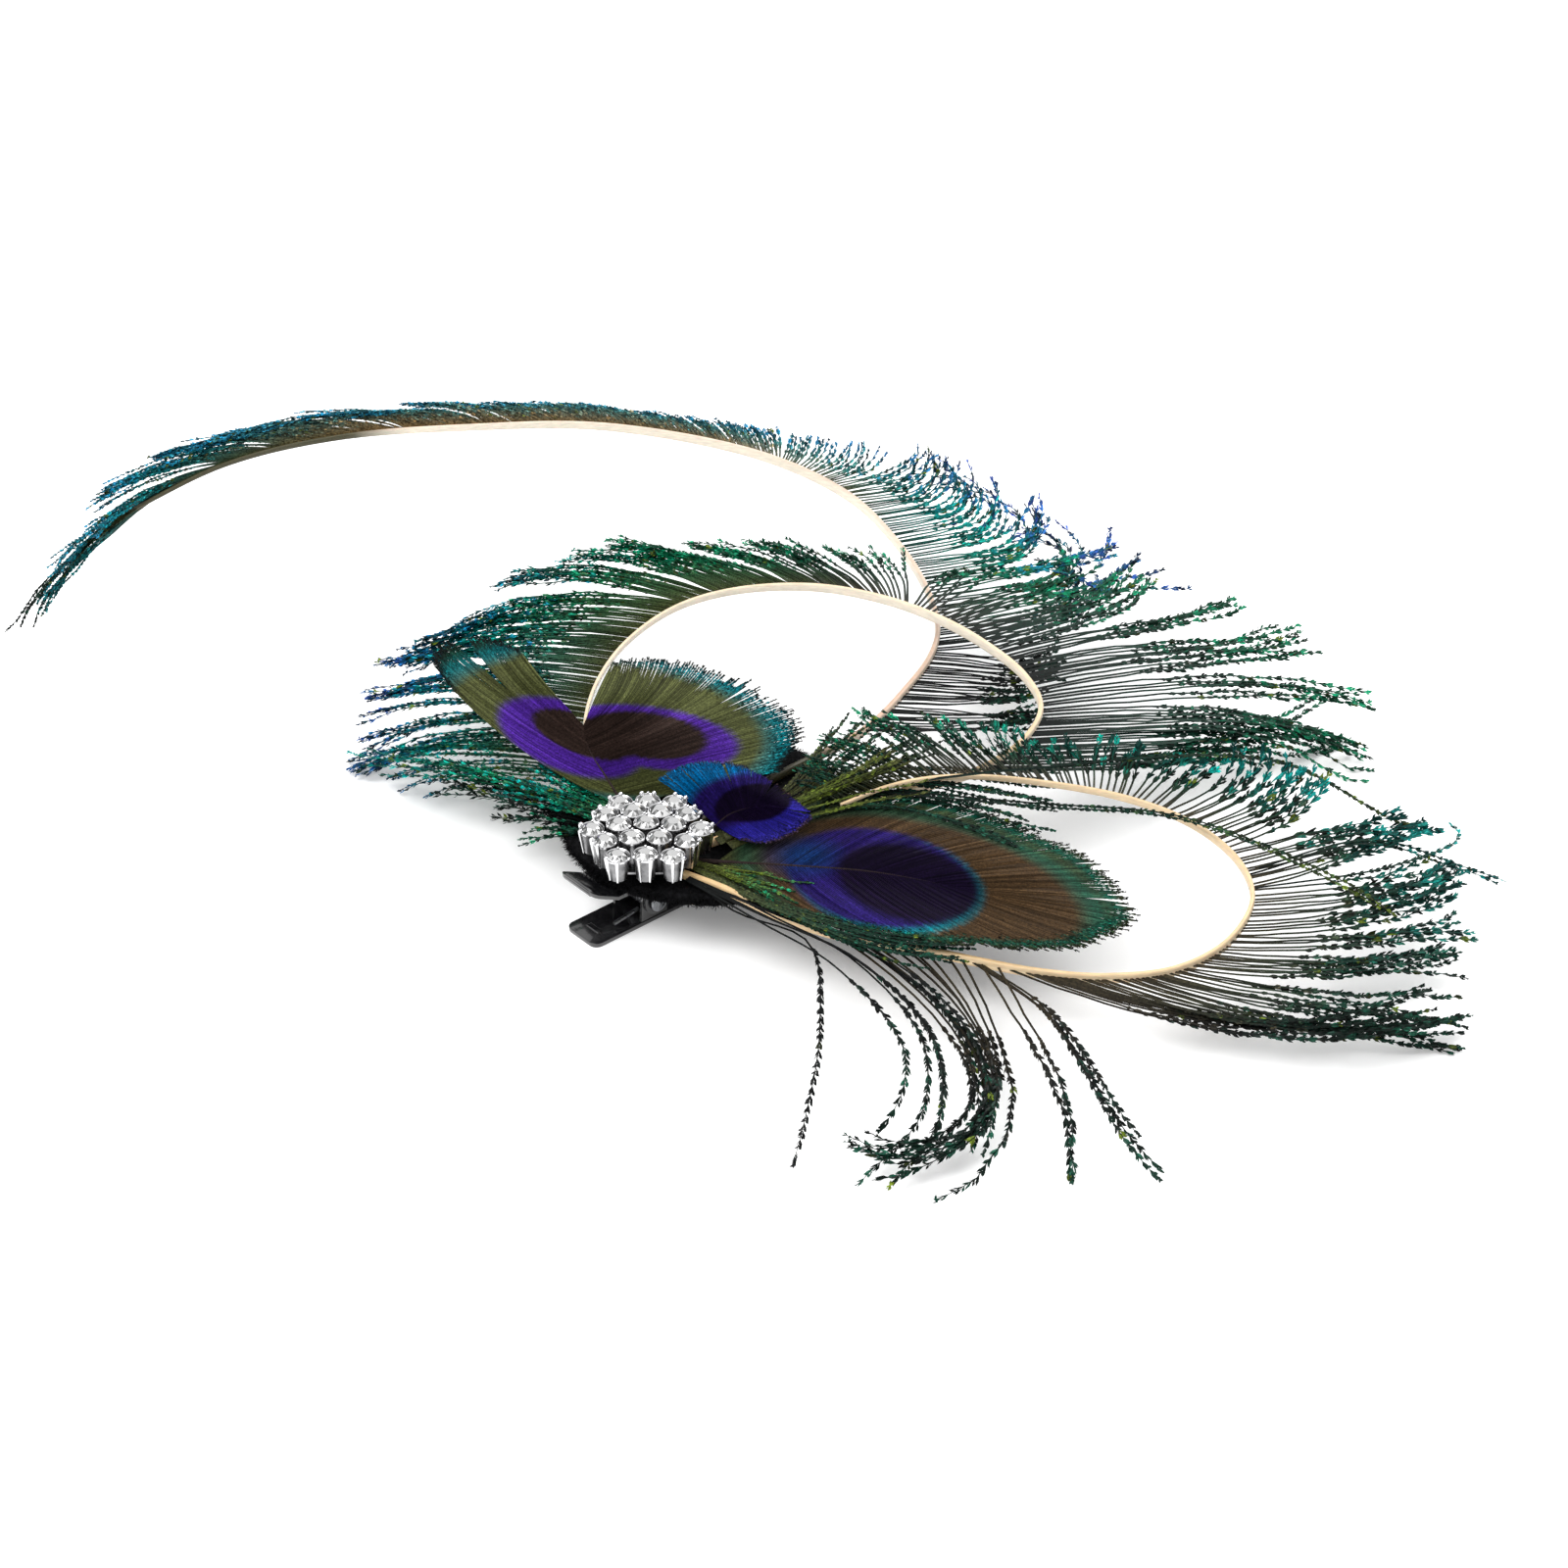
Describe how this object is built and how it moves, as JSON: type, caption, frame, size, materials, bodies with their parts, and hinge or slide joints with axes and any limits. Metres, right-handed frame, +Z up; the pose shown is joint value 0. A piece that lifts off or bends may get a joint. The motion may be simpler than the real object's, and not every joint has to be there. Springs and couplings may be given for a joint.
{
  "type": "feather fascinator hair clip",
  "caption": "Fascinator of curled peacock sword feathers and trimmed eye feathers under a round stone cluster brooch, on a felt disc glued to a sprung hair clip.",
  "frame": {"origin": "on the underside of the clip's lower arm, straight below the hinge pin", "axes": "+X towards the right curl, along the fascinator's longest extent; +Y away from the viewer, towards the long sword feather; +Z up from the table it lies on"},
  "size_m": [0.2603, 0.2003, 0.0437],
  "materials": {
    "lacquer": "gloss black lacquer on pressed steel",
    "steel": "bright drawn wire",
    "felt": "matt black felt",
    "quill": "smooth ivory keratin",
    "sword_barbs": "iridescent green to blue barbs",
    "eye_barbs": "iridescent violet, teal and bronze barbs",
    "silver": "polished silver plate",
    "stone": "clear cut crystal with a foiled back"
  },
  "bodies": {
    "headpiece": {"clip_upper_arm": "lacquer", "clip_pin": "steel", "clip_spring": "steel", "felt_base": "felt", "long_sword_quill": "quill", "long_sword_vane": "sword_barbs", "upper_curl_quill": "quill", "upper_curl_vane": "sword_barbs", "right_curl_quill": "quill", "right_curl_vane": "sword_barbs", "left_eye_feather": "eye_barbs", "middle_eye_feather": "eye_barbs", "right_eye_feather": "eye_barbs", "brooch_setting": "silver", "stone_01": "stone", "stone_02": "stone", "stone_03": "stone", "stone_04": "stone", "stone_05": "stone", "stone_06": "stone", "stone_07": "stone", "stone_08": "stone", "stone_09": "stone", "stone_10": "stone", "stone_11": "stone", "stone_12": "stone", "stone_13": "stone", "stone_14": "stone", "stone_15": "stone", "stone_16": "stone", "stone_17": "stone", "stone_18": "stone", "stone_19": "stone"},
    "jaw": {"clip_lower_arm": "lacquer", "clip_spring_leg": "steel"}
  },
  "joints": [
    {"name": "clip_hinge", "type": "hinge", "parent": "headpiece", "child": "jaw", "pos_m": [0, 0, 0.0046], "axis": [-0.6561, 0.7547, 0], "range_deg": [0, 30], "stiffness_Nm_per_rad": 0.02, "springref_deg": -85.94}
  ]
}
